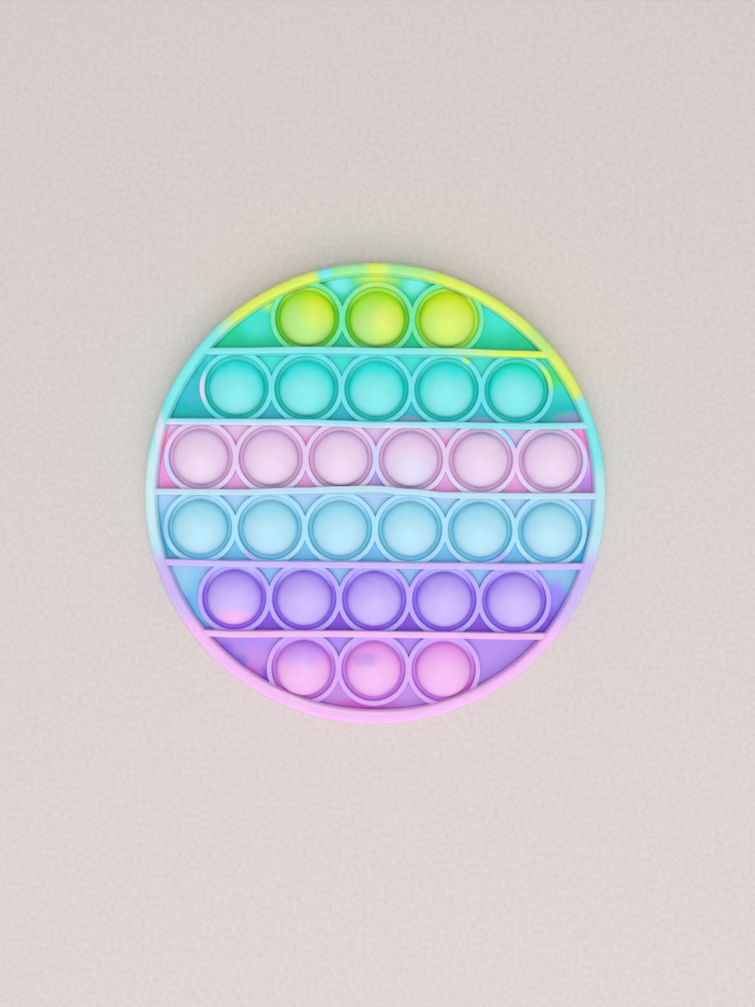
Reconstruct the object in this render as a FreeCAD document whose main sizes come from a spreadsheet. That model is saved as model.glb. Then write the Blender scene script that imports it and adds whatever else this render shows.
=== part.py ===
# Round bubble-popping fidget toy, moulded in one piece of soft silicone rubber.
# A flat web is carried at mid height inside a tall rim. The web holds 28 thin domes in rows of
# 3, 5, 6, 6, 5 and 3. A thin hinge joins each dome to a raised ring, and a straight bar divides
# each row from the next. Both faces are alike, apart from the domes, which all stand upward.
#
# Frame: millimetres, Z up. The origin is on the axis of the disc, at the foot of the rim.
# X runs along the rows, and Y crosses them.

import FreeCAD
import Part

import os
from math import hypot, tan

import Sketcher

NODE = "popper_disc"
SHEET = "Sizes"

# Driving sizes, in millimetres. A lean is how far a drafted wall steps back over its height, a
# drop is how far a top lies below the top of the rim, and a sink is how deep a bar runs into the rim.
# The shoulder and the crown are the radii of the dome's section at its side and over its top.
SIZES = {
    "dome_radius": 7.4,
    "dome_shoulder": 5.0,
    "dome_crown": 8.6,
    "dome_wall": 1.0,
    "dome_foot": 1.2,
    "dome_lean": 0.15,
    "hinge_width": 1.15,
    "hinge_thickness": 0.7,
    "partition_width": 1.6,
    "ring_width": 1.34,
    "ring_lean": 0.12,
    "ring_bevel": 0.2,
    "ring_drop": 2.6,
    "bar_setback": 0.02,
    "bar_lean": 0.06,
    "bar_round": 0.3,
    "bar_drop": 0.35,
    "bar_sink": 1.4,
    "web_thickness": 1.5,
    "rim_gap": 0.79,
    "rim_width": 3.0,
    "rim_height": 10.0,
    "rim_outer_lean": 0.16,
    "rim_inner_lean": 0.45,
    "rim_outer_round": 1.1,
    "rim_inner_bevel": 0.35,
}

# Bubbles in each row on either side of the middle bar, from the middle outward
ROW_COUNTS = (6, 5, 3)

# How far the outermost bubble of the fullest corner lies from the middle, counted in pitches
CORNER_REACH = max(hypot((count - 1) / 2, step + 0.5) for step, count in enumerate(ROW_COUNTS))

# The numbers by which a sketch knows its origin, its upright axis and the points of an edge
ORIGIN = -1
UPRIGHT = -2
START = 1
END = 2
CENTRE = 3


class Formula:
    """A size: its value, and the text that binds it to the sheet."""

    def __init__(self, text, value):
        self.text = text
        self.value = value

    def joined(self, sign, other, value):
        return Formula(f"({self.text} {sign} {other.text})", value)

    def __add__(self, other):
        other = formula(other)
        return self.joined("+", other, self.value + other.value)

    def __sub__(self, other):
        other = formula(other)
        return self.joined("-", other, self.value - other.value)

    def __mul__(self, other):
        other = formula(other)
        return self.joined("*", other, self.value * other.value)

    def __truediv__(self, other):
        other = formula(other)
        return self.joined("/", other, self.value / other.value)

    def __neg__(self):
        return Formula(f"(-{self.text})", -self.value)


def formula(size):
    return size if isinstance(size, Formula) else Formula(str(float(size)), float(size))


def square_root(area):
    return Formula(f"sqrt({area.text})", area.value**0.5)


class Corner:
    """A corner of an outline, rounded off where a radius is given. Where it is smooth, its edges run
    on into each other. An arc settles what isn't held."""

    def __init__(self, x, y, rounded=None, hold="xy", smooth=False):
        self.x = formula(x)
        self.y = formula(y)
        self.rounded = rounded
        self.hold = hold
        self.smooth = smooth

    def point(self):
        return FreeCAD.Vector(self.x.value, self.y.value, 0)


class Bend(Corner):
    """The centre of an arc that runs between the corners before and after it."""

    def __init__(self, x, y, radius, hold="xy"):
        super().__init__(x, y, hold=hold)
        self.radius = radius


class Outline:
    """Draws a closed outline in a sketch, and ties every size of it to the sheet."""

    def __init__(self, sketch):
        self.sketch = sketch

    def rule(self, *words):
        return self.sketch.addConstraint(Sketcher.Constraint(*words))

    def tie(self, size, kind, *where):
        index = self.rule(kind, *where, size.value)
        self.sketch.setExpression(f"Constraints[{index}]", size.text)

    def pin(self, geometry, place, corner):
        if "x" in corner.hold:
            if corner.x.value == 0:
                self.rule("PointOnObject", geometry, place, UPRIGHT)
            else:
                self.tie(corner.x, "DistanceX", ORIGIN, START, geometry, place)
        if "y" in corner.hold:
            self.tie(corner.y, "DistanceY", ORIGIN, START, geometry, place)

    def draw(self, path):
        corners = [step for step in path if not isinstance(step, Bend)]
        bends = {
            corners.index(path[at - 1]): step for at, step in enumerate(path) if isinstance(step, Bend)
        }
        stops = [self.stops(corners, at) for at in range(len(corners))]
        edges = []
        for at in range(len(corners)):
            start = stops[at][1]
            stop = stops[(at + 1) % len(corners)][0]
            edges.append(self.bend(bends[at], start, stop) if at in bends else self.line(start, stop))
        for at, corner in enumerate(corners):
            before, after = edges[at - 1], edges[at]
            if corner.rounded is None:
                meeting = "Tangent" if corner.smooth else "Coincident"
                self.rule(meeting, before[0], before[2], after[0], after[1])
                self.pin(after[0], after[1], corner)
            else:
                self.round_off(corner, stops[at], before, after)

    def stops(self, corners, at):
        """Where the edges before and after a corner end, short of it by what its round takes."""
        corner = corners[at]
        here = corner.point()
        if corner.rounded is None:
            return here, here
        back = (corners[at - 1].point() - here).normalize()
        ahead = (corners[(at + 1) % len(corners)].point() - here).normalize()
        room = corner.rounded.value / tan(back.getAngle(ahead) / 2)
        return here + back * room, here + ahead * room

    def line(self, start, stop):
        return self.sketch.addGeometry(Part.LineSegment(start, stop)), START, END

    def arc(self, start, crown, stop):
        """An arc, with the numbers of its end points in the outline's direction."""
        arc = self.sketch.addGeometry(Part.Arc(start, crown, stop))
        if self.sketch.getPoint(arc, START).distanceToPoint(start) < self.sketch.getPoint(
            arc, END
        ).distanceToPoint(start):
            return arc, START, END
        return arc, END, START

    def bend(self, bend, start, stop):
        centre = bend.point()
        outward = ((start + stop) * 0.5 - centre).normalize()
        arc = self.arc(start, centre + outward * bend.radius.value, stop)
        self.pin(arc[0], CENTRE, bend)
        self.tie(bend.radius, "Radius", arc[0])
        return arc

    def round_off(self, corner, stops, before, after):
        """A tangent arc of the corner's radius, with a construction point kept at the corner."""
        here = corner.point()
        mark = self.sketch.addGeometry(Part.Point(here), True)
        self.pin(mark, START, corner)
        for edge in (before, after):
            self.rule("PointOnObject", mark, START, edge[0])
        start, stop = stops
        inward = ((start + stop) * 0.5 - here).normalize()
        radius = corner.rounded.value
        to_centre = (radius**2 + (start - here).Length ** 2) ** 0.5
        arc, first, last = self.arc(start, here + inward * (to_centre - radius), stop)
        self.rule("Tangent", before[0], before[2], arc, first)
        self.rule("Tangent", arc, last, after[0], after[1])
        self.tie(corner.rounded, "Radius", arc)


def make_sheet(doc):
    """Write the driving sizes into the sheet, and give them back as formulas."""
    sheet = doc.addObject("Spreadsheet::Sheet", SHEET)
    for row, (name, value) in enumerate(SIZES.items(), start=1):
        sheet.set(f"A{row}", name)
        sheet.set(f"B{row}", str(value))
        sheet.setAlias(f"B{row}", name)
    doc.recompute()
    return {name: Formula(f"{SHEET}.{name}", value) for name, value in SIZES.items()}


def add_shared_sizes(size):
    """Work out the radii, the widths and the heights above the foot of the rim that features share."""
    dome_base = size["dome_radius"] + size["dome_lean"]
    size["ring_bore"] = dome_base + size["hinge_width"]
    size["pitch"] = size["ring_bore"] * 2 + size["partition_width"]
    size["bar_width"] = size["partition_width"] - size["bar_setback"] * 2
    size["rim_bore"] = size["pitch"] * CORNER_REACH + dome_base + size["rim_gap"]
    size["rim_radius"] = size["rim_bore"] + size["rim_width"]
    half_web = size["web_thickness"] / 2
    half_hinge = size["hinge_thickness"] / 2
    size["middle"] = size["rim_height"] / 2
    size["web_top"] = size["middle"] + half_web
    size["web_bottom"] = size["middle"] - half_web
    size["hinge_top"] = size["middle"] + half_hinge
    size["hinge_bottom"] = size["middle"] - half_hinge
    size["dome_spring"] = size["hinge_top"] + size["dome_foot"]
    inset = size["dome_radius"] - size["dome_shoulder"]
    apart = size["dome_crown"] - size["dome_shoulder"]
    size["shoulder_centre"] = inset
    size["crown_centre"] = size["dome_spring"] - square_root(apart * apart - inset * inset)
    size["ring_top"] = size["rim_height"] - size["ring_drop"]
    size["ring_bottom"] = size["ring_drop"]
    size["bar_top"] = size["rim_height"] - size["bar_drop"]
    size["bar_bottom"] = size["bar_drop"]


def origin_feature(body, role):
    return next(item for item in body.Origin.OriginFeatures if item.Role == role)


def add_sketch(body, name, plane, path, shift=None):
    """A sketch on one of the body's planes, shifted by formulas in the sketch's own directions."""
    sketch = body.newObject("Sketcher::SketchObject", name)
    sketch.AttachmentSupport = [(origin_feature(body, plane), "")]
    sketch.MapMode = "FlatFace"
    for direction, size in (shift or {}).items():
        sketch.setExpression(f"AttachmentOffset.Base.{direction}", size.text)
    Outline(sketch).draw(path)
    return sketch


def add_turned(body, kind, name, sketch):
    """A full turn of the sketch about its own upright axis, which adds or cuts by its kind."""
    feature = body.newObject(f"PartDesign::{kind}", name)
    feature.Profile = sketch
    feature.ReferenceAxis = (sketch, ["V_Axis"])
    feature.Angle = 360
    return feature


def rim_and_web(body, size):
    """The tall rim with its drafted walls and rounded lips, and the flat web across it."""
    height = size["rim_height"]
    bore = size["rim_bore"]
    foot = bore - size["rim_inner_lean"]
    lip = size["rim_radius"] - size["rim_outer_lean"]
    bevel = size["rim_inner_bevel"]
    path = [
        Corner(0, size["web_bottom"]),
        Corner(foot, size["web_bottom"]),
        Corner(bore, bevel),
        Corner(bore + bevel, 0),
        Corner(lip, 0, size["rim_outer_round"]),
        Corner(size["rim_radius"], size["middle"]),
        Corner(lip, height, size["rim_outer_round"]),
        Corner(bore + bevel, height),
        Corner(bore, height - bevel),
        Corner(foot, size["web_top"]),
        Corner(0, size["web_top"]),
    ]
    sketch = add_sketch(body, "rim_section", "XZ_Plane", path)
    return add_turned(body, "Revolution", "rim_and_web", sketch)


def hole_path(size):
    """The hole that a bubble takes in the web: its wall runs up inside the ring."""
    wall = size["ring_bore"] + size["ring_width"] / 2
    return [
        Corner(0, size["web_bottom"]),
        Corner(wall, size["web_bottom"]),
        Corner(wall, size["web_top"]),
        Corner(0, size["web_top"]),
    ]


def crown_end(size, crown):
    """Where an arc of the given radius over the top of the dome runs on into the shoulder."""
    share = crown / (size["dome_crown"] - size["dome_shoulder"])
    drop = size["dome_spring"] - size["crown_centre"]
    return Corner(
        size["shoulder_centre"] * share, size["crown_centre"] + drop * share, hold="", smooth=True
    )


def bubble_path(size):
    """Half the section of one bubble: ring, hinge and dome, drawn from the bubble's own axis."""
    radius = size["dome_radius"]
    wall = size["dome_wall"]
    hollow = radius - wall
    shoulder = size["dome_shoulder"]
    shoulder_centre = size["shoulder_centre"]
    crown = size["dome_crown"]
    crown_centre = size["crown_centre"]
    spring = size["dome_spring"]
    bore = size["ring_bore"]
    bore_foot = bore - size["ring_lean"]
    side = bore + size["ring_width"]
    side_foot = side + size["ring_lean"]
    top = size["ring_top"]
    bottom = size["ring_bottom"]
    bevel = size["ring_bevel"]
    return [
        Corner(0, crown_centre + crown, hold="x"),
        Bend(0, crown_centre, crown),
        crown_end(size, crown),
        Bend(shoulder_centre, spring, shoulder, hold="y"),
        Corner(radius, spring, hold="y"),
        Corner(radius + size["dome_lean"], size["hinge_top"]),
        Corner(bore_foot, size["hinge_top"]),
        Corner(bore, top - bevel),
        Corner(bore + bevel, top),
        Corner(side - bevel, top),
        Corner(side, top - bevel),
        Corner(side_foot, size["middle"]),
        Corner(side, bottom + bevel),
        Corner(side - bevel, bottom),
        Corner(bore + bevel, bottom),
        Corner(bore, bottom + bevel),
        Corner(bore_foot, size["hinge_bottom"]),
        Corner(hollow + size["dome_lean"] * 2, size["hinge_bottom"]),
        Corner(hollow, spring, hold="y"),
        Bend(shoulder_centre, spring, shoulder - wall, hold="y"),
        crown_end(size, crown - wall),
        Bend(0, crown_centre, crown - wall),
        Corner(0, crown_centre + crown - wall, hold="x"),
    ]


def bubble_rows():
    """Each row's name, its number of bubbles, and where its first bubble stands, in pitches."""
    rows = []
    for side, sign in (("front", -1), ("back", 1)):
        for step, count in enumerate(ROW_COUNTS):
            rows.append((f"{side}_{step}", count, -(count - 1) / 2, sign * (step + 0.5)))
    return rows


def add_rows(body, kind, name, path, size):
    """The same turned feature in every row: at the first bubble, and then repeated along X."""
    for row, count, along, across in bubble_rows():
        shift = {"x": size["pitch"] * along, "z": size["pitch"] * -across}
        sketch = add_sketch(body, f"{name}_section_{row}", "XZ_Plane", path, shift)
        first = add_turned(body, kind, f"{name}_{row}", sketch)
        body.Document.recompute()
        pattern = body.newObject("PartDesign::LinearPattern", f"{name}_row_{row}")
        pattern.Originals = [first]
        pattern.Direction = (origin_feature(body, "X_Axis"), [""])
        pattern.setExpression("Length", (size["pitch"] * (count - 1)).text)
        pattern.Occurrences = count
        body.Tip = pattern
        body.Document.recompute()


def bar_path(size):
    """The section of a bar: widest at mid height, with rounded upper and lower edges."""
    half = size["bar_width"] / 2
    edge = half - size["bar_lean"]
    rounded = size["bar_round"]
    return [
        Corner(-edge, size["bar_bottom"], rounded),
        Corner(edge, size["bar_bottom"], rounded),
        Corner(half, size["middle"]),
        Corner(edge, size["bar_top"], rounded),
        Corner(-edge, size["bar_top"], rounded),
        Corner(-half, size["middle"]),
    ]


def add_bars(body, size):
    """A bar between each row and the next, as long as the chord that ends inside the rim."""
    reach = size["rim_bore"] + size["bar_sink"]
    for step in range(1 - len(ROW_COUNTS), len(ROW_COUNTS)):
        across = size["pitch"] * step
        name = f"bar_{step + len(ROW_COUNTS)}"
        sketch = add_sketch(body, f"{name}_section", "YZ_Plane", bar_path(size), {"x": across})
        bar = body.newObject("PartDesign::Pad", name)
        bar.Profile = sketch
        bar.SideType = "Symmetric"
        bar.setExpression("Length", (square_root(reach * reach - across * across) * 2).text)
        body.Tip = bar
        body.Document.recompute()


def check(doc):
    """Stop at any object that failed to build, and at a body that isn't one sound solid."""
    for item in doc.Objects:
        if {"Invalid", "Error"} & set(item.State):
            raise RuntimeError(f"{item.Name} failed: {item.State}")
    for body in doc.findObjects("PartDesign::Body"):
        shape = body.Shape
        if shape.isNull() or not shape.isValid() or len(shape.Solids) != 1:
            raise RuntimeError(f"{body.Name} isn't one valid solid")


def main():
    doc = FreeCAD.newDocument("BubblePopper")
    size = make_sheet(doc)
    add_shared_sizes(size)
    body = doc.addObject("PartDesign::Body", NODE)
    body.Label = NODE
    body.Placement = FreeCAD.Placement()
    rim_and_web(body, size)
    add_rows(body, "Groove", "hole", hole_path(size), size)
    add_bars(body, size)
    add_rows(body, "Revolution", "bubble", bubble_path(size), size)
    check(doc)
    os.makedirs("parts", exist_ok=True)
    body.Shape.exportStep(os.path.join("parts", f"{body.Label}.step"))
    high = max(vertex.Z for vertex in body.Shape.Vertexes)
    print(f"{body.Label}: radius {size['rim_radius'].value:.3f} mm, {high:.2f} mm high,")
    print(f"volume {body.Shape.Volume:.0f} mm3, {len(body.Shape.Faces)} faces")


main()
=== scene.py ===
"""Round bubble-popping fidget toy in marbled silicone, seen from straight above.

The toy is modelled as the one moulding that it is: a web and its rings with their fillets, the
thin domes and their hinges, the rim, and bars whose free edges wander a little. Lengths here are
in millimetres up to the last step, which puts the mesh in metres.
"""

from math import atan2, cos, hypot, pi, radians, sin, tan
from random import Random

import bpy
from mathutils import Matrix, Vector

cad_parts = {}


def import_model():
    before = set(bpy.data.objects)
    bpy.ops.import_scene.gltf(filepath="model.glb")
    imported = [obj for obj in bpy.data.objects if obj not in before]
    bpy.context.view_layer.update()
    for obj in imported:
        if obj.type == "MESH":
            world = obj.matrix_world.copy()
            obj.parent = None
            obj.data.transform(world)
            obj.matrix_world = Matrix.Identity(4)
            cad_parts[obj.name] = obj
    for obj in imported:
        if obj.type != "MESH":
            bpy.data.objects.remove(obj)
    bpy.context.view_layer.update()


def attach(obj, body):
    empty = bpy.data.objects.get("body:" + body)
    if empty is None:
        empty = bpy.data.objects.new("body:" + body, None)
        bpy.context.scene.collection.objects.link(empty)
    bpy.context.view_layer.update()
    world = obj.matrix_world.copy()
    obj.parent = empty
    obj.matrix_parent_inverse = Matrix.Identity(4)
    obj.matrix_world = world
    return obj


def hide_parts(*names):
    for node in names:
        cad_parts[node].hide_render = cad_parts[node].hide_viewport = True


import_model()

MM = 0.001
NODE = "popper_disc"

# Plan of the toy
PITCH = 19.0
ROW_COUNTS = (3, 5, 6, 6, 5, 3)
DOME_RADIUS = 7.4
DOME_SHOULDER = 5.0
DOME_CROWN = 8.6
DOME_WALL = 1.0
DOME_LEAN = 0.15
RING_BORE = 8.7
RING_WIDTH = 1.34
RING_LEAN = 0.12
BAR_WIDTH = 1.82
BAR_LEAN = 0.06
RIM_BORE = 59.2
RIM_RADIUS = 62.4
RIM_OUTER_LEAN = 0.16
RIM_INNER_LEAN = 0.45

# Heights: of the rim, of its middle, and how far the rest reaches above and below that middle
RIM_HEIGHT = 10.0
RING_DROP = 2.6
BAR_DROP = 0.35
DOME_FOOT = 1.2
MIDDLE = RIM_HEIGHT / 2
WEB_HALF = 0.75
HINGE_HALF = 0.35
RING_HALF = MIDDLE - RING_DROP
BAR_HALF = MIDDLE - BAR_DROP
DOME_SPRING = MIDDLE + HINGE_HALF + DOME_FOOT

# Rounds, fillets and the parting bead of the moulding
EDGE_ROUND = 0.28
BAR_ROUND = 0.3
RIM_OUTER_ROUND = 1.1
RIM_INNER_ROUND = 0.8
FILLET = 0.3
HINGE_FILLET = 0.3
PARTING_BEAD = 0.07
PARTING_HALF = 0.14
RIM_STRAIGHT = 0.4

# How the forms run into one another, so that they join without a gap
LAP = 0.1
FOOT_SINK = 0.02
WEB_EDGE_RISE = 1.2
WEB_EDGE_REACH = 1.0
BORE_PROUD = 0.01
BORE_BEYOND = 1.0
HINGE_LEAN = 0.04
HINGE_ROOT = 0.9
HINGE_REACH = 0.5
BAR_FOOT_INSET = 0.03
BAR_FOOT_RISE = 0.8
BAR_SINK = 1.7

# Fineness of the mesh
BUBBLE_SEGMENTS = 44
RIM_SEGMENTS = 240
DOME_STEPS = 6
HOLLOW_STEPS = 4
ROUND_STEPS = 3
RIM_ROUND_STEPS = 5
BAR_STEPS = 84
SHARP_DEGREES = 34

# How far the crown of a dome dips, drawn for each dome
DIP_SEED = 5
DIP = (0.02, 0.15)

# Zones of the moulding, each with a material of its own
ZONE_NAMES = ("rim", "web", "ring", "hinge", "dome", "bar")
RIM, WEB, RING, HINGE, DOME, BAR = range(len(ZONE_NAMES))
DOME_EDGE = DOME_RADIUS + 0.06
DOME_LOWEST = MIDDLE - HINGE_HALF + 0.05

# How far the free edge of each bar sways to the back at these places along it, the back bar first
SWAY_STATIONS = (-38.0, -19.0, -9.5, 0.0, 9.5, 19.0, 38.0)
BAR_SWAY = (
    (0.2, 0.7, 0.7, 0.55, 0.63, 0.68, 0.2),
    (0.05, 0.1, -0.15, -0.5, -0.35, -0.25, -0.45),
    (0.0, 0.75, 1.2, 1.45, 0.65, -0.2, -0.25),
    (-0.35, -0.35, -0.3, -0.35, -0.4, -0.3, -0.35),
    (-0.35, 0.0, 0.1, 0.1, 0.05, 0.05, -0.1),
)
NO_SWAY = (0.0,) * len(SWAY_STATIONS)
UNDERSIDE_SWAY = 0.25

# The rim's give grows from nothing at one distance from the middle to its full value at another,
# and beyond a third it follows the outer edge instead of the inner one
GIVE_START = 55.0
GIVE_SPAN = 5.0
GIVE_OUTER = RIM_BORE + 1.5

# How far the rim gives outward, by the angle in degrees anticlockwise from the right
RIM_GIVE = (
    (-180, 0.0), (-140, 0.15), (-110, 0.0), (-75, -0.05), (-40, 0.2), (-10, 0.0),
    (30, -0.1), (60, -0.35), (80, 0.0), (99, 0.1), (120, 0.0), (180, 0.0),
)

# The same for the inner edge of the rim
RIM_INNER_GIVE = (
    (-180, 0.25), (-170, 0.3), (-155, 0.1), (-140, 0.0), (-110, -0.4), (-90, -0.55), (-72, 0.0),
    (-40, 0.4), (-20, 0.0), (20, 0.35), (50, 0.0), (80, 0.3), (100, 0.45), (120, 0.5), (140, 0.4),
    (160, 0.45), (180, 0.25),
)

# Pigments, as a screen shows them
PIGMENTS = {
    # domes
    "lime": (182, 229, 124),
    "aqua": (124, 226, 226),
    "blush": (230, 206, 230),
    "ice": (178, 222, 238),
    "lilac": (198, 178, 242),
    "rose": (234, 182, 234),
    # tops of the rings
    "mint": (112, 224, 170),
    "turquoise": (104, 218, 224),
    "shell": (220, 196, 228),
    "frost": (166, 215, 236),
    "lavender": (184, 168, 241),
    "mauve": (210, 167, 231),
    # grooves round the domes
    "leaf": (100, 200, 40),
    "lagoon": (4, 194, 184),
    "heather": (210, 173, 206),
    "azure": (118, 198, 216),
    "iris": (152, 112, 222),
    "fuchsia": (196, 132, 218),
    # web
    "jade": (2, 206, 160),
    "seafoam": (60, 216, 208),
    "teal": (8, 188, 190),
    "orchid": (215, 188, 218),
    "pink": (232, 166, 222),
    "sky": (155, 203, 224),
    "cornflower": (116, 194, 230),
    "periwinkle": (144, 194, 222),
    "violet": (144, 86, 220),
    "wisteria": (178, 141, 227),
    "plum": (196, 142, 224),
    # bars, swirls and the rim
    "foam": (130, 222, 225),
    "snow": (186, 215, 230),
    "thistle": (201, 182, 242),
    "candy": (230, 182, 228),
    "yellow": (212, 234, 96),
    "magenta": (214, 100, 206),
    "flamingo": (240, 146, 206),
    "fern": (62, 214, 112),
    "mist": (176, 198, 236),
    "cyan": (44, 188, 224),
    "hyacinth": (156, 138, 234),
    "opal": (196, 230, 242),
    "pearl": (222, 212, 236),
    "brook": (138, 220, 230),
    "sprout": (158, 226, 156),
    "river": (50, 186, 204),
    "dusk": (158, 168, 208),
    "surf": (112, 228, 214),
    "dawn": (210, 176, 240),
    "harebell": (196, 206, 240),
    # fronts of the grooves, and their backs, painted paler as painted light
    "reef": (0, 206, 204),
    "bloom": (218, 186, 228),
    "brine": (130, 214, 244),
    "grape": (176, 108, 244),
    "peony": (214, 128, 234),
    "spring": (206, 244, 100),
    "tide": (88, 234, 224),
    "rime": (200, 232, 246),
    "veil": (216, 210, 252),
    "petal": (236, 202, 252),
}

# Bands of pigment across the toy, as the place along Y and the pigment there, from back to front
WEB_BANDS = (
    (57, "jade"), (38.3, "jade"), (37.7, "seafoam"), (31, "seafoam"), (24, "teal"), (19.4, "teal"),
    (18.6, "orchid"), (12, "orchid"), (6, "pink"), (0.4, "pink"), (-0.4, "mist"), (-4, "sky"),
    (-6.5, "cornflower"), (-18.6, "cornflower"), (-19.4, "periwinkle"), (-23, "periwinkle"),
    (-26, "cornflower"), (-29.5, "violet"), (-37.6, "violet"), (-38.4, "wisteria"),
    (-44, "wisteria"), (-52, "plum"), (-57, "plum"),
)
RING_BANDS = (
    (57, "mint"), (38.3, "mint"), (37.7, "turquoise"), (19.4, "turquoise"), (18.6, "shell"),
    (8, "shell"), (2, "pearl"), (0.4, "pearl"), (-0.4, "frost"), (-18.6, "frost"),
    (-19.4, "lavender"), (-37.6, "lavender"), (-38.4, "lavender"), (-46, "mauve"), (-57, "mauve"),
)
HINGE_BANDS = (
    (57, "leaf"), (41, "leaf"), (39.6, "mint"), (38.3, "mint"), (37.7, "lagoon"), (23, "lagoon"),
    (20.5, "reef"), (19.4, "reef"), (18.6, "heather"), (4, "heather"), (1.5, "bloom"),
    (0.4, "bloom"), (-0.4, "azure"), (-15, "azure"), (-17.5, "brine"), (-18.6, "brine"),
    (-19.4, "iris"), (-34, "iris"), (-36.5, "grape"), (-37.6, "grape"), (-38.4, "iris"),
    (-44, "fuchsia"), (-53, "fuchsia"), (-55.5, "peony"), (-57, "peony"),
)
# Painted light: paler pigments for the backs of the grooves
PAINTED_LIGHT_GROOVE_BANDS = (
    (57, "spring"), (38.3, "spring"), (37.7, "tide"), (19.4, "tide"), (18.6, "blush"),
    (0.4, "blush"), (-0.4, "rime"), (-18.6, "rime"), (-19.4, "veil"), (-37.6, "veil"),
    (-38.4, "petal"), (-57, "petal"),
)
DOME_BANDS = (
    (57, "lime"), (38.3, "lime"), (37.7, "aqua"), (19.4, "aqua"), (18.6, "blush"), (0.4, "blush"),
    (-0.4, "ice"), (-18.6, "ice"), (-19.4, "lilac"), (-37.6, "lilac"), (-38.4, "rose"),
    (-57, "rose"),
)
BAR_BANDS = (
    (46, "foam"), (30, "foam"), (28, "brook"), (19.6, "brook"), (17.6, "pearl"), (10, "pearl"),
    (9, "snow"), (-9, "snow"), (-10, "thistle"), (-28, "thistle"), (-29, "candy"), (-46, "candy"),
)

BANDS = {WEB: WEB_BANDS, RING: RING_BANDS, HINGE: HINGE_BANDS, DOME: DOME_BANDS, BAR: BAR_BANDS}

# Bands round the rim, by the angle in degrees anticlockwise from the right: a ramp's 32 at most
RIM_BANDS = (
    (0, "ice"), (5, "ice"), (9, "aqua"), (25, "aqua"), (27, "yellow"), (37, "yellow"), (41, "lime"),
    (45, "lime"), (49, "yellow"), (73, "yellow"), (77, "lime"), (86, "sprout"), (88.5, "yellow"),
    (91.5, "yellow"), (94, "sprout"), (99, "sprout"), (104, "mint"), (106, "yellow"),
    (128, "yellow"), (136, "aqua"), (164, "aqua"), (172, "opal"), (186, "opal"), (194, "ice"),
    (198, "lilac"), (210, "lilac"), (218, "rose"), (322, "rose"), (328, "lilac"), (342, "lilac"),
    (348, "ice"), (360, "ice"),
)

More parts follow.
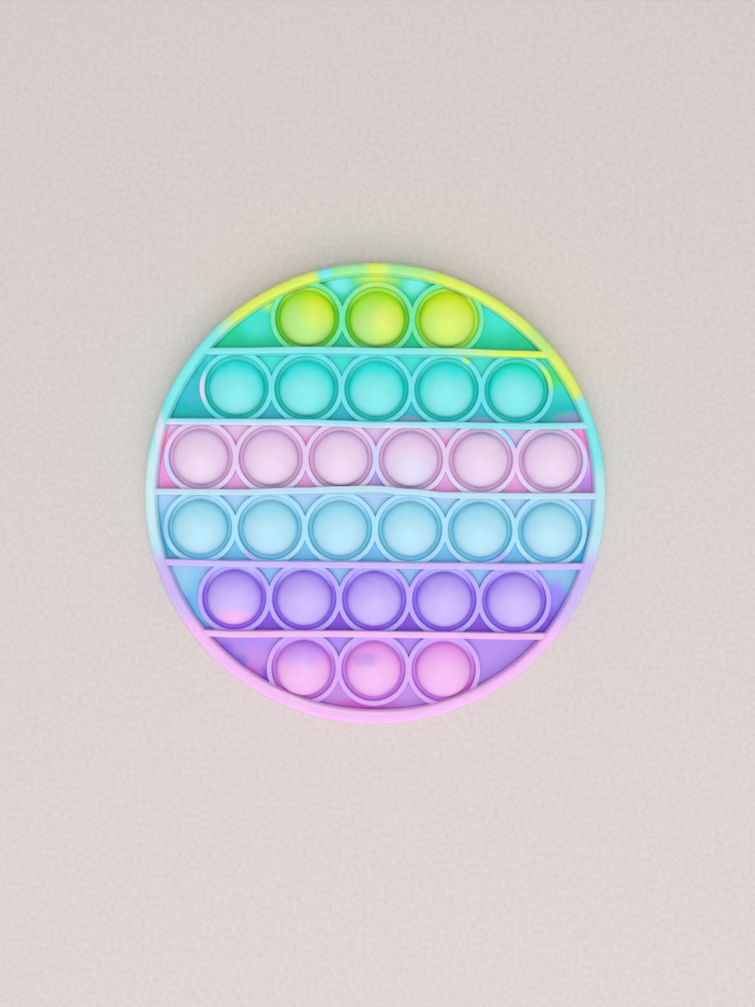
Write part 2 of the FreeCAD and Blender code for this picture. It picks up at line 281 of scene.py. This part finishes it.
# Swirls of another pigment: its place in X and Y, its radii in X and Y, and the zones it reaches
SWIRLS = (
    ("yellow", -15.5, 49.5, 5.0, 6.0, (DOME,)),
    ("yellow", 3.5, 46.0, 5.5, 6.5, (DOME,)),
    ("yellow", 20.0, 48.0, 9.0, 9.0, (DOME, HINGE)),
    ("lime", 0.0, 58.5, 6.5, 4.0, (WEB,)),
    ("yellow", 0.0, 59.0, 2.2, 6.0, (WEB, RIM)),
    ("lime", 0.0, 58.5, 7.5, 4.5, (RING,)),
    ("aqua", -10.0, 56.8, 3.6, 3.2, (WEB,)),
    ("aqua", 10.0, 56.8, 3.6, 3.2, (WEB,)),
    ("seafoam", 33.0, 50.0, 7.0, 7.0, (WEB,)),
    ("lime", -29.5, 51.5, 4.0, 2.5, (WEB,)),
    ("seafoam", -33.0, 46.0, 5.0, 5.0, (WEB,)),
    ("aqua", -13.8, 59.3, 2.4, 1.6, (RIM,)),
    ("yellow", 45.0, 38.6, 25.0, 4.0, (BAR,)),
    ("lime", 46.5, 33.0, 3.0, 5.0, (RING,)),
    ("lime", 24.3, 36.6, 1.4, 1.1, (RING,)),
    ("surf", 41.0, 34.5, 5.5, 4.5, (DOME,)),
    ("fern", 49.5, 33.5, 3.5, 4.0, (WEB,)),
    ("teal", -50.0, 34.0, 4.0, 5.0, (WEB,)),
    ("river", -49.5, 27.0, 3.0, 4.0, (WEB,)),
    ("river", -28.5, 21.5, 3.5, 2.0, (WEB,)),
    ("river", -9.5, 21.5, 3.5, 2.0, (WEB,)),
    ("river", 9.5, 21.5, 3.5, 2.0, (WEB,)),
    ("river", 28.5, 21.5, 4.0, 2.4, (WEB,)),
    ("dusk", 9.5, 19.8, 3.5, 1.1, (WEB,)),
    ("dusk", 29.5, 19.8, 4.5, 1.3, (WEB,)),
    ("dusk", 53.0, 20.6, 5.0, 2.4, (WEB,)),
    ("pearl", -47.5, 28.0, 2.5, 4.0, (RING,)),
    ("brook", 34.0, 19.0, 26.0, 4.0, (BAR,)),
    ("flamingo", 56.5, 15.0, 3.0, 6.0, (WEB,)),
    ("plum", 57.0, 3.5, 3.0, 4.5, (WEB,)),
    ("flamingo", -57.5, 11.0, 2.6, 7.0, (WEB,)),
    ("flamingo", -56.0, 1.5, 3.0, 2.0, (WEB,)),
    ("flamingo", -38.0, 12.6, 2.5, 2.2, (WEB,)),
    ("flamingo", -19.0, 13.0, 2.5, 2.5, (WEB,)),
    ("flamingo", 0.0, 13.0, 2.5, 2.5, (WEB,)),
    ("flamingo", 19.0, 13.0, 2.5, 2.5, (WEB,)),
    ("lavender", 38.5, 13.0, 2.4, 2.6, (WEB,)),
    ("lavender", 2.0, 4.5, 3.0, 3.0, (WEB,)),
    ("harebell", -57.5, 6.5, 3.5, 4.5, (RING,)),
    ("harebell", 58.0, 8.5, 2.6, 4.0, (RING,)),
    ("frost", 35.5, 16.0, 3.2, 2.6, (RING,)),
    ("harebell", 0.0, 8.5, 4.0, 6.5, (RING,)),
    ("pearl", 9.5, 6.0, 8.0, 6.0, (DOME,)),
    ("cyan", 55.5, -15.0, 3.5, 5.0, (WEB,)),
    ("cyan", -55.5, -15.0, 3.5, 4.0, (WEB,)),
    ("lavender", -33.0, -16.5, 3.0, 2.0, (RING,)),
    ("lavender", 33.0, -16.5, 3.0, 2.0, (RING,)),
    ("sky", -54.0, -24.5, 5.0, 7.0, (WEB,)),
    ("cornflower", -47.0, -31.0, 5.0, 8.0, (WEB,)),
    ("hyacinth", 49.5, -27.5, 3.0, 5.0, (WEB,)),
    ("frost", -38.0, -19.5, 8.0, 1.8, (RING,)),
    ("frost", -19.0, -19.5, 6.0, 1.8, (RING,)),
    ("frost", 0.0, -19.5, 6.0, 1.8, (RING,)),
    ("frost", 19.0, -19.5, 6.0, 1.8, (RING,)),
    ("rose", -38.0, -34.5, 6.0, 3.4, (DOME,)),
    ("magenta", -21.0, -54.5, 5.0, 3.0, (HINGE,)),
    ("magenta", 25.0, -53.0, 4.0, 3.0, (HINGE,)),
    ("pearl", -58.0, 14.5, 1.6, 7.0, (RIM,)),
    ("periwinkle", -58.0, -11.0, 3.0, 6.0, (RING,)),
    ("wisteria", 32.0, -47.0, 9.0, 8.0, (WEB,)),
    ("dawn", -19.0, -42.0, 7.0, 4.6, (DOME,)),
    ("mauve", -2.5, -44.6, 4.2, 2.0, (DOME,)),
    ("plum", -32.0, -45.5, 4.0, 4.0, (WEB,)),
    ("iris", -40.5, -43.0, 3.0, 2.6, (WEB,)),
    ("iris", -37.0, -46.0, 2.6, 2.2, (WEB,)),
    ("violet", -28.5, -50.0, 2.6, 3.0, (WEB,)),
    ("magenta", -33.5, -49.2, 3.0, 1.6, (WEB,)),
    ("magenta", -3.0, -57.8, 9.5, 2.2, (WEB,)),
)

# Swirls are solid inside the first share of their radii and gone at the second
SWIRL_CORE = 0.3
SWIRL_EDGE = 1.4

# How the pigments wander: how far, over what distance, and the white clouds in them; the same white
# is mixed into the rim's inner wall as painted light
DRIFT = 1.2
DRIFT_SIZE = 9.0
CLOUD_SIZE = 5.0
CLOUD_AND_PAINTED_LIGHT_WHITE = (255, 255, 255)
CLOUD_SHADE = {RIM: 0.06, WEB: 0.015, RING: 0.05, HINGE: 0.01, DOME: 0.06, BAR: 0.06}

# Painted light: the back of each groove is painted paler, standing in for the light that comes
# through the dome onto it: where it starts and is full, as shares of the pitch
PAINTED_LIGHT_GROOVE_SPAN = (0.6, 0.92)
PAINTED_LIGHT_GROOVE_SHARE = 0.9

# Painted light: the rim's inner wall, which lies in shade, is painted paler where it falls away
# from the top, from and to these radii
PAINTED_LIGHT_RIM_WALL = (RIM_BORE + 0.5, RIM_BORE - 0.1)
PAINTED_LIGHT_RIM_WALL_SHARE = 0.2

# Painted light and shade: where the domes turn away from the lamps, their colour is painted richer
# and lighter, standing in for light that comes through the rubber
PAINTED_GLOW_TOWARD_LAMPS = (0.0, -0.6, 0.8)
PAINTED_GLOW_FACING = (0.76, 0.2)
PAINTED_GLOW_SATURATION = 1.36
PAINTED_GLOW_VALUE = 1.2

# Skin of the silicone: its shine, the light that passes through it, and its grain and ripples
NOISE_RANGE = (0.3, 0.7)
ROUGHNESS = {
    RIM: (0.42, 0.58), WEB: (0.5, 0.65), RING: (0.45, 0.6), HINGE: (0.5, 0.65), DOME: (0.5, 0.62),
    BAR: (0.4, 0.55),
}
SHINE = 0.3
REFRACTION = 1.41
SUBSURFACE = {RIM: 1.0, WEB: 0.3, RING: 0.4, HINGE: 0.3, DOME: 0.3, BAR: 0.8}
SUBSURFACE_REACH = {RIM: 7.0, WEB: 1.0, RING: 1.0, HINGE: 1.0, DOME: 1.0, BAR: 2.0}
GRAIN_SIZE = 0.22
GRAIN_STRENGTH = 0.35
GRAIN_HEIGHT = 0.012
RIPPLE_SIZE = 2.4
RIPPLE_STRENGTH = 0.5
RIPPLE_HEIGHT = 0.05

# Floor, with its size in metres
FLOOR_HALF = 3.0
FLOOR_TONES = ((206, 199, 195), (216, 209, 205))
FLOOR_GRAIN = 1.2
FLOOR_ROUGHNESS = 0.95
FLOOR_SHINE = 0.1

# Light, in metres, and the camera
WORLD_STRENGTH = 0.42
WINDOW_PLACE = (0.08, -0.75, 0.95)
WINDOW_SIZE = 0.9
WINDOW_WATTS = 5.2
CEILING_PLACE = (0.0, -0.12, 1.1)
CEILING_SIZE = 0.45
CEILING_WATTS = 5.4
CAMERA_PLACE = (0.6, -2.6, 386.6)
CAMERA_DEGREES = 0.6
LENS = 50.0
SENSOR = 36.0


def rounded(corners, steps=ROUND_STEPS):
    """Points along a path of (x, z) or (x, z, radius) corners, with an arc at each given radius."""
    points = []
    for at, corner in enumerate(corners):
        here = Vector(corner[:2])
        if len(corner) < 3:
            points.append((corner[0], corner[1]))
            continue
        back = (Vector(corners[at - 1][:2]) - here).normalized()
        ahead = (Vector(corners[(at + 1) % len(corners)][:2]) - here).normalized()
        half = back.angle(ahead) / 2
        reach = corner[2] / tan(half)
        centre = here + (back + ahead).normalized() * (corner[2] / sin(half))
        start = here + back * reach - centre
        stop = here + ahead * reach - centre
        turn = start.angle_signed(stop)
        for step in range(steps + 1):
            angle = -turn * step / steps
            spoke = Vector((
                start.x * cos(angle) - start.y * sin(angle),
                start.x * sin(angle) + start.y * cos(angle),
            ))
            points.append(tuple(centre + spoke))
    return points


def mirrored(path):
    """The same path on the other face, run backwards."""
    return [(point[0], RIM_HEIGHT - point[1], *point[2:]) for point in reversed(path)]


def dome_skin(depth, steps):
    """The dome's section at a depth below its outer skin, from the axis down to its spring line:
    a flat arc over the crown that runs on into a rounder one at the shoulder."""
    inset = DOME_RADIUS - DOME_SHOULDER
    apart = DOME_CROWN - DOME_SHOULDER
    drop = (apart * apart - inset * inset) ** 0.5
    turn = atan2(inset, drop)
    crown = DOME_CROWN - depth
    shoulder = DOME_SHOULDER - depth
    over = [turn * step / steps for step in range(steps)]
    down = [turn + (pi / 2 - turn) * step / steps for step in range(steps + 1)]
    points = [(crown * sin(angle), DOME_SPRING - drop + crown * cos(angle)) for angle in over]
    points += [
        (inset + shoulder * sin(angle), DOME_SPRING + shoulder * cos(angle)) for angle in down
    ]
    return points


def turned(path, zone, centre=(0.0, 0.0), segments=BUBBLE_SEGMENTS):
    """Points, faces and zones of a path turned about an upright axis. A path whose first and last
    points lie on the axis is closed by poles, and any other path is closed on itself. The zone is
    one for all faces, or a function of a place on the path."""
    poles = path[0][0] == 0
    inner = path[1:-1] if poles else path
    rows = len(inner)
    points = []
    for segment in range(segments):
        angle = 2 * pi * segment / segments
        points += [
            (centre[0] + x * cos(angle), centre[1] + x * sin(angle), z) for x, z in inner
        ]
    faces = []
    zones = []

    def label(start, stop):
        return zone((start[0] + stop[0]) / 2, (start[1] + stop[1]) / 2) if callable(zone) else zone

    for segment in range(segments):
        this = segment * rows
        after = (segment + 1) % segments * rows
        for row in range(rows - 1 if poles else rows):
            low = (row + 1) % rows
            faces.append((this + row, this + low, after + low, after + row))
            zones.append(label(inner[row], inner[low]))
    if poles:
        for place, row, flip in ((path[0], 0, False), (path[-1], rows - 1, True)):
            pole = len(points)
            points.append((*centre, place[1]))
            for segment in range(segments):
                this = segment * rows + row
                after = (segment + 1) % segments * rows + row
                faces.append((pole, after, this) if flip else (pole, this, after))
                zones.append(label(place, inner[row]))
    return points, faces, zones


def gathered(name, parts):
    """One mesh object from several lots of points, faces and zones."""
    points, faces, zones = [], [], []
    for more_points, more_faces, more_zones in parts:
        start = len(points)
        points += more_points
        faces += [tuple(start + corner for corner in face) for face in more_faces]
        zones += more_zones
    mesh = bpy.data.meshes.new(name)
    mesh.from_pydata(points, [], faces)
    for slot in ZONE_NAMES:
        mesh.materials.append(None)
    mesh.polygons.foreach_set("material_index", zones)
    thing = bpy.data.objects.new(name, mesh)
    bpy.context.scene.collection.objects.link(thing)
    return thing


def bubble_places():
    """The axis of each bubble, with 0 or 1 so that touching bubbles never share a number."""
    places = []
    for row, count in enumerate(ROW_COUNTS):
        y = PITCH * ((len(ROW_COUNTS) - 1) / 2 - row)
        for column in range(count):
            x = PITCH * (column - (count - 1) / 2)
            places.append((x, y, (column + count // 2 + row) % 2))
    return places


def web_path():
    """The flat web, rising in a fillet where it meets the rim."""
    foot = RIM_BORE - RIM_INNER_LEAN
    top = MIDDLE + WEB_HALF
    upper = rounded([
        (0.0, top),
        (foot, top, FILLET),
        (foot + LAP, top + WEB_EDGE_RISE),
        (foot + WEB_EDGE_REACH, top + WEB_EDGE_RISE),
    ])
    return upper + mirrored(upper)


def ring_path():
    """A solid puck with the outside of a ring, flared where it meets the web."""
    side = RING_BORE + RING_WIDTH
    foot = side + RING_LEAN
    bottom = MIDDLE + WEB_HALF - FOOT_SINK
    upper = rounded([
        (0.0, MIDDLE + RING_HALF),
        (side, MIDDLE + RING_HALF, EDGE_ROUND),
        (foot, bottom, FILLET),
        (foot + FILLET + LAP, bottom),
    ])
    return upper + mirrored(upper)


def puck_zone(x, z):
    """The fillet round a ring's foot belongs to the web."""
    return WEB if abs(z - MIDDLE) < WEB_HALF + FILLET else RING


def bore_path():
    """What is cut out of a ring: its bore, opened at both ends by the round of the ring's edge."""
    beyond = MIDDLE + RING_HALF + BORE_BEYOND
    edge = MIDDLE + RING_HALF + BORE_PROUD
    mouth = RING_BORE + 2 * EDGE_ROUND
    upper = [(0.0, beyond), (mouth, beyond)]
    upper += rounded([
        (mouth, edge),
        (RING_BORE, edge, EDGE_ROUND),
        (RING_BORE - RING_LEAN, MIDDLE),
    ])
    return upper + mirrored(upper)[1:]


def membrane_path(dip):
    """A dome with its hinge, which runs a little way into the ring. Its crown dips by a little."""
    hollow = DOME_RADIUS - DOME_WALL
    wall = RING_BORE - RING_LEAN
    top = MIDDLE + HINGE_HALF
    bottom = MIDDLE - HINGE_HALF
    path = dome_skin(0.0, DOME_STEPS)
    crown = path[0][1]
    path += rounded([
        (DOME_RADIUS, DOME_SPRING),
        (DOME_RADIUS + DOME_LEAN, top, HINGE_FILLET),
        (wall, top, HINGE_FILLET),
        (wall + HINGE_LEAN, top + HINGE_ROOT),
        (wall + HINGE_REACH, top + HINGE_ROOT),
        (wall + HINGE_REACH, bottom - HINGE_ROOT),
        (wall + HINGE_LEAN, bottom - HINGE_ROOT),
        (wall, bottom, HINGE_FILLET),
        (hollow + 2 * DOME_LEAN, bottom, HINGE_FILLET),
        (hollow, DOME_SPRING),
    ])[1:-1]
    path += reversed(dome_skin(DOME_WALL, HOLLOW_STEPS))
    rise = crown - DOME_SPRING
    return [(x, z - dip * max(0.0, (z - DOME_SPRING) / rise) ** 2) for x, z in path]


def membrane_zone(x, z):
    """A membrane is dome as far as its side wall, and hinge beyond that and under it."""
    return DOME if x < DOME_EDGE and z > DOME_LOWEST else HINGE


def rim_path():
    """The section of the rim, with a fine parting bead left by the mould at mid height."""
    foot = RIM_BORE - RIM_INNER_LEAN
    lip = RIM_RADIUS - RIM_OUTER_LEAN
    inside = rounded([
        (foot, MIDDLE),
        (foot, MIDDLE + RIM_STRAIGHT),
        (RIM_BORE, RIM_HEIGHT, RIM_INNER_ROUND),
        (lip, RIM_HEIGHT, RIM_OUTER_ROUND),
        (RIM_RADIUS, MIDDLE + PARTING_HALF),
        (RIM_RADIUS + PARTING_BEAD, MIDDLE),
    ], steps=RIM_ROUND_STEPS)[:-1]
    return inside + [(RIM_RADIUS + PARTING_BEAD, MIDDLE)] + mirrored(inside)[:-1]


def bar_section(foot):
    """The section of a bar as (y, z). The foot is only its low part, with a fillet to the web."""
    half = BAR_WIDTH / 2
    edge = half - BAR_LEAN
    top = MIDDLE + BAR_HALF
    web_top = MIDDLE + WEB_HALF
    if foot:
        spread = half + FILLET + LAP
        inset = half - BAR_FOOT_INSET
        side = rounded([
            (spread, MIDDLE),
            (spread, web_top - FOOT_SINK),
            (inset, web_top - FOOT_SINK, FILLET),
            (inset, web_top + BAR_FOOT_RISE),
        ])[1:]
    else:
        side = rounded([(half, MIDDLE), (edge, top, BAR_ROUND), (-edge, top)])[:-1]
    upper = side + [(-y, z) for y, z in reversed(side)]
    if not foot:
        upper.remove((-half, MIDDLE))
    lower = [(-y, RIM_HEIGHT - z) for y, z in upper]
    return upper + lower


def eased(stations, place):
    """A smooth value at a place, between the values that are given at stations."""
    if place <= stations[0][0]:
        return stations[0][1]
    for (start, before), (stop, after) in zip(stations, stations[1:]):
        if place <= stop:
            share = (place - start) / (stop - start)
            return before + (after - before) * share * share * (3 - 2 * share)
    return stations[-1][1]


def bar(y, section, sway, zone=BAR):
    """A bar along X that ends inside the rim. Its free edges sway by what the stations say."""
    reach = RIM_BORE + BAR_SINK
    half_length = (reach * reach - y * y) ** 0.5
    stations = [(-half_length, 0.0)] + [
        (x, shift) for x, shift in zip(SWAY_STATIONS, sway)
    ] + [(half_length, 0.0)]
    points, faces = [], []
    size = len(section)
    for step in range(BAR_STEPS + 1):
        x = half_length * (2 * step / BAR_STEPS - 1)
        above = eased(stations, x)
        below = eased(stations, -x) * UNDERSIDE_SWAY
        for side, z in section:
            rise = max(0.0, (abs(z - MIDDLE) - WEB_HALF) / (BAR_HALF - WEB_HALF))
            points.append((x, y + side + rise * (above if z > MIDDLE else below), z))
    for step in range(BAR_STEPS):
        here = step * size
        ahead = here + size
        for at in range(size):
            after = (at + 1) % size
            faces.append((here + at, here + after, ahead + after, ahead + at))
    faces.append(tuple(reversed(range(size))))
    faces.append(tuple(BAR_STEPS * size + at for at in range(size)))
    return points, faces, [zone] * len(faces)


def settle(points):
    """The slight give of a soft rim that has been handled: it isn't quite round."""
    settled = []
    for x, y, z in points:
        out = hypot(x, y)
        share = min(1.0, max(0.0, (out - GIVE_START) / GIVE_SPAN))
        angle = atan2(y, x) / radians(1)
        give = RIM_INNER_GIVE if out < GIVE_OUTER else RIM_GIVE
        grow = eased(give, angle) * share * share * (3 - 2 * share) / max(out, 1.0)
        settled.append((x * (1 + grow), y * (1 + grow), z))
    return settled


def join(thing, other, how):
    step = thing.modifiers.new(other.name, "BOOLEAN")
    step.solver = "MANIFOLD"
    step.operation = how
    step.object = other
    step.material_mode = "INDEX"


def moulding():
    """The whole toy as one closed mesh, in metres."""
    places = bubble_places()
    rows = [PITCH * (2 - step) for step in range(len(BAR_SWAY))]
    draw = Random(DIP_SEED)
    points, faces, zones = turned(web_path(), WEB, segments=RIM_SEGMENTS)
    base = gathered("web", [(settle(points), faces, zones)])
    feet = [bar(y, bar_section(True), NO_SWAY, WEB) for y in rows]
    tools = [(gathered("feet", feet), "UNION")]
    for turn in (0, 1):
        pucks = [turned(ring_path(), puck_zone, (x, y)) for x, y, side in places if side == turn]
        tools.append((gathered(f"rings_{turn}", pucks), "UNION"))
    bores = [turned(bore_path(), RING, (x, y)) for x, y, side in places]
    tools.append((gathered("bores", bores), "DIFFERENCE"))
    membranes = [
        turned(membrane_path(draw.uniform(*DIP)), membrane_zone, (x, y)) for x, y, side in places
    ]
    tools.append((gathered("membranes", membranes), "UNION"))
    bars = [bar(y, bar_section(False), sway) for y, sway in zip(rows, BAR_SWAY)]
    tools.append((gathered("bars", bars), "UNION"))
    points, faces, zones = turned(rim_path(), RIM, segments=RIM_SEGMENTS)
    tools.append((gathered("rim", [(settle(points), faces, zones)]), "UNION"))
    for tool, how in tools:
        join(base, tool, how)
    solved = base.evaluated_get(bpy.context.evaluated_depsgraph_get())
    mesh = bpy.data.meshes.new_from_object(solved)
    for thing in [base] + [tool for tool, how in tools]:
        spent = thing.data
        bpy.data.objects.remove(thing)
        bpy.data.meshes.remove(spent)
    mesh.transform(Matrix.Scale(MM, 4))
    mesh.shade_smooth()
    mesh.set_sharp_from_angle(angle=radians(SHARP_DEGREES))
    toy = bpy.data.objects.new("silicone_moulding", mesh)
    bpy.context.scene.collection.objects.link(toy)
    even = toy.modifiers.new("even_shading", "WEIGHTED_NORMAL")
    even.keep_sharp = True
    return toy


def srgb(red, green, blue):
    """A colour written as a screen shows it, from 0 to 255, in the linear values of a shader."""
    def linear(level):
        level /= 255
        return level / 12.92 if level <= 0.04045 else ((level + 0.055) / 1.055) ** 2.4
    return linear(red), linear(green), linear(blue), 1.0


class Nodes:
    """Builds a material's nodes, one call a node. A value given for a socket is set there, and the
    output of another node is linked to it."""

    def __init__(self, name):
        self.material = bpy.data.materials.new(name)
        self.material.use_nodes = True
        self.tree = self.material.node_tree
        self.shader = self.tree.nodes["Principled BSDF"]

    def add(self, kind, inputs=(), **settings):
        node = self.tree.nodes.new(f"ShaderNode{kind}")
        for setting, value in settings.items():
            setattr(node, setting, value)
        for socket, value in dict(inputs).items():
            if isinstance(value, bpy.types.NodeSocket):
                self.tree.links.new(value, node.inputs[socket])
            else:
                node.inputs[socket].default_value = value
        return node

    def math(self, operation, *values):
        return self.add("Math", dict(enumerate(values)), operation=operation).outputs[0]

    def vector(self, operation, *values):
        return self.add("VectorMath", dict(enumerate(values)), operation=operation)

    def noise(self, place, size, detail=2.0, roughness=0.5):
        """Noise whose features are about the given size across, in millimetres."""
        inputs = {
            "Vector": place, "Scale": 1 / (size * MM), "Detail": detail, "Roughness": roughness,
        }
        return self.add("TexNoise", inputs)

    def mapped(self, value, low, high, to_low=0.0, to_high=1.0, smooth=True):
        inputs = {
            "Value": value, "From Min": low, "From Max": high, "To Min": to_low, "To Max": to_high,
        }
        kind = "SMOOTHSTEP" if smooth else "LINEAR"
        return self.add("MapRange", inputs, interpolation_type=kind).outputs[0]

    def ramp(self, value, stops):
        node = self.add("ValToRGB", {"Fac": value})
        ramp = node.color_ramp
        while len(ramp.elements) < len(stops):
            ramp.elements.new(1.0)
        for element, (position, colour) in zip(ramp.elements, sorted(stops)):
            element.position = position
            element.color = colour
        return node.outputs["Color"]

    def mix(self, share, first, second):
        node = self.add("Mix", data_type="RGBA", blend_type="MIX")
        sockets = [socket for socket in node.inputs if socket.type == "RGBA"]
        for socket, value in zip([node.inputs[0], *sockets], (share, first, second)):
            if isinstance(value, bpy.types.NodeSocket):
                self.tree.links.new(value, socket)
            else:
                socket.default_value = value
        return next(socket for socket in node.outputs if socket.type == "RGBA")

    def painted_glow_away_from_lamps(self, colour):
        """Painted light and shade: richer and lighter where the dome turns away from the lamps,
        standing in for light that has come through the soft rubber."""
        normal = self.add("NewGeometry").outputs["Normal"]
        lamp_facing = self.vector("DOT_PRODUCT", normal, PAINTED_GLOW_TOWARD_LAMPS).outputs["Value"]
        shade_side_settings = {
            "Saturation": PAINTED_GLOW_SATURATION,
            "Value": PAINTED_GLOW_VALUE,
            "Fac": self.mapped(lamp_facing, *PAINTED_GLOW_FACING, smooth=False),
            "Color": colour,
        }
        return self.add("HueSaturation", shade_side_settings).outputs["Color"]

    def bump(self, height, strength, rise, inputs=()):
        """A normal for a height that rises by so many millimetres."""
        sockets = {"Strength": strength, "Distance": rise * MM, "Height": height, **dict(inputs)}
        return self.add("Bump", sockets).outputs[0]

    def link(self, output, socket):
        self.tree.links.new(output, self.shader.inputs[socket])

    def set_all(self, values):
        for socket, value in values.items():
            self.shader.inputs[socket].default_value = value


def band_stops(bands, low, high):
    """Ramp stops from the places and pigments of a zone's bands, between the ends of the ramp."""
    return [((place - low) / (high - low), srgb(*PIGMENTS[pigment])) for place, pigment in bands]


def marbled(nodes, zone, place, flow):
    """A zone's bands of pigment along the drifted place, with the swirls that reach it, the painted
    light on the backs of the grooves and the painted light on the rim's inner wall.
    """
    apart = nodes.add("SeparateXYZ", {0: flow})
    across = apart.outputs["Y"]
    if zone == RIM:
        turn = nodes.math("ARCTAN2", across, apart.outputs["X"])
        share = nodes.math("FRACT", nodes.math("DIVIDE", turn, 2 * pi))
        colour = nodes.ramp(share, band_stops(RIM_BANDS, 0, 360))
    else:
        share = nodes.mapped(across, -RIM_BORE * MM, RIM_BORE * MM, smooth=False)
        colour = nodes.ramp(share, band_stops(BANDS[zone], -RIM_BORE, RIM_BORE))
    # Painted light: the back of each groove is mixed toward a paler pigment
    if zone == HINGE:
        within = nodes.math("FRACT", nodes.math("DIVIDE", across, PITCH * MM))
        back = nodes.mapped(within, *PAINTED_LIGHT_GROOVE_SPAN, 0.0, PAINTED_LIGHT_GROOVE_SHARE)
        painted_light_colour = nodes.ramp(share, band_stops(PAINTED_LIGHT_GROOVE_BANDS, -RIM_BORE, RIM_BORE))
        colour = nodes.mix(back, colour, painted_light_colour)
    for pigment, x, y, wide, deep, zones in SWIRLS:
        if zone not in zones:
            continue
        away = nodes.vector("SUBTRACT", flow, (x * MM, y * MM, 0.0)).outputs[0]
        radii = (1 / (wide * MM), 1 / (deep * MM), 0.0)
        spans = nodes.vector("MULTIPLY", away, radii).outputs[0]
        out = nodes.vector("LENGTH", spans).outputs["Value"]
        within = nodes.mapped(out, SWIRL_CORE, SWIRL_EDGE, 1.0, 0.0)
        colour = nodes.mix(within, colour, srgb(*PIGMENTS[pigment]))
    # Painted light: the rim's inner wall, which lies in shade, is mixed toward white
    if zone == RIM:
        level = nodes.vector("MULTIPLY", place, (1.0, 1.0, 0.0)).outputs[0]
        middle = nodes.vector("LENGTH", level).outputs["Value"]
        start, full = (radius * MM for radius in PAINTED_LIGHT_RIM_WALL)
        wall = nodes.mapped(middle, start, full, 0.0, PAINTED_LIGHT_RIM_WALL_SHARE)
        colour = nodes.mix(wall, colour, srgb(*CLOUD_AND_PAINTED_LIGHT_WHITE))
    return colour


def silicone(zone, name):
    """Marbled silicone for one zone, with white clouds in it and the grain of its skin, and on the
    domes painted light and shade where they turn away from the lamps.
    """
    nodes = Nodes(f"silicone_{name}")
    place = nodes.add("TexCoord").outputs["Object"]
    drift = nodes.noise(place, DRIFT_SIZE, detail=3.0).outputs["Color"]
    offset = nodes.vector("SUBTRACT", drift, (0.5, 0.5, 0.5)).outputs[0]
    reach = (DRIFT * 2 * MM, DRIFT * 2 * MM, 0.0)
    flow = nodes.vector("MULTIPLY_ADD", offset, reach, place).outputs[0]
    colour = marbled(nodes, zone, place, flow)
    cloud = nodes.noise(flow, CLOUD_SIZE, detail=4.0, roughness=0.6).outputs["Fac"]
    shade = nodes.mapped(cloud, *NOISE_RANGE, 0.0, CLOUD_SHADE[zone])
    colour = nodes.mix(shade, colour, srgb(*CLOUD_AND_PAINTED_LIGHT_WHITE))
    # Painted light and shade on the sides of the domes turned away from the lamps
    if zone == DOME:
        colour = nodes.painted_glow_away_from_lamps(colour)
    nodes.link(colour, "Base Color")
    nodes.link(colour, "Subsurface Radius")
    skin = nodes.noise(place, GRAIN_SIZE, detail=3.0).outputs["Fac"]
    ripple = nodes.noise(place, RIPPLE_SIZE, detail=1.0).outputs["Fac"]
    nodes.link(nodes.mapped(skin, *NOISE_RANGE, *ROUGHNESS[zone]), "Roughness")
    grain = nodes.bump(skin, GRAIN_STRENGTH, GRAIN_HEIGHT)
    nodes.link(nodes.bump(ripple, RIPPLE_STRENGTH, RIPPLE_HEIGHT, {"Normal": grain}), "Normal")
    nodes.set_all({
        "IOR": REFRACTION,
        "Specular IOR Level": SHINE,
        "Subsurface Weight": SUBSURFACE[zone],
        "Subsurface Scale": SUBSURFACE_REACH[zone] * MM,
    })
    return nodes.material


def floor():
    """A plain pale floor with the faintest grain."""
    nodes = Nodes("floor")
    place = nodes.add("TexCoord").outputs["Object"]
    grain = nodes.noise(place, FLOOR_GRAIN, detail=3.0).outputs["Fac"]
    tones = [(at, srgb(*tone)) for at, tone in zip(NOISE_RANGE, FLOOR_TONES)]
    nodes.link(nodes.ramp(grain, tones), "Base Color")
    nodes.set_all({"Roughness": FLOOR_ROUGHNESS, "Specular IOR Level": FLOOR_SHINE})
    low, high = -FLOOR_HALF, FLOOR_HALF
    corners = [(low, low, 0), (high, low, 0), (high, high, 0), (low, high, 0)]
    mesh = bpy.data.meshes.new("floor")
    mesh.from_pydata(corners, [], [(0, 1, 2, 3)])
    mesh.materials.append(nodes.material)
    thing = bpy.data.objects.new("floor", mesh)
    bpy.context.scene.collection.objects.link(thing)


def light(name, place, size, watts):
    """A square white area light that faces the toy."""
    lamp = bpy.data.lights.new(name, "AREA")
    lamp.size = size
    lamp.energy = watts
    thing = bpy.data.objects.new(name, lamp)
    thing.location = place
    thing.rotation_euler = Vector(place).to_track_quat("Z", "Y").to_euler()
    bpy.context.scene.collection.objects.link(thing)


def world():
    """Even white light from all round."""
    surroundings = bpy.data.worlds.new("soft_room")
    surroundings.use_nodes = True
    sky = surroundings.node_tree.nodes["Background"]
    sky.inputs["Color"].default_value = (1.0, 1.0, 1.0, 1.0)
    sky.inputs["Strength"].default_value = WORLD_STRENGTH
    bpy.context.scene.world = surroundings


def camera():
    """Straight above, turned by the little that the toy is turned in the picture."""
    lens = bpy.data.cameras.new("camera")
    lens.lens = LENS
    lens.sensor_width = SENSOR
    lens.clip_start = 0.01
    thing = bpy.data.objects.new("camera", lens)
    thing.location = [side * MM for side in CAMERA_PLACE]
    thing.rotation_euler = (0.0, 0.0, radians(CAMERA_DEGREES))
    bpy.context.scene.collection.objects.link(thing)
    bpy.context.scene.camera = thing


def main():
    toy = moulding()
    for zone, name in enumerate(ZONE_NAMES):
        toy.data.materials[zone] = silicone(zone, name)
    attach(toy, "root")
    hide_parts(NODE)
    floor()
    world()
    light("window", WINDOW_PLACE, WINDOW_SIZE, WINDOW_WATTS)
    light("ceiling", CEILING_PLACE, CEILING_SIZE, CEILING_WATTS)
    camera()
    bpy.context.scene.view_settings.view_transform = "Standard"


main()
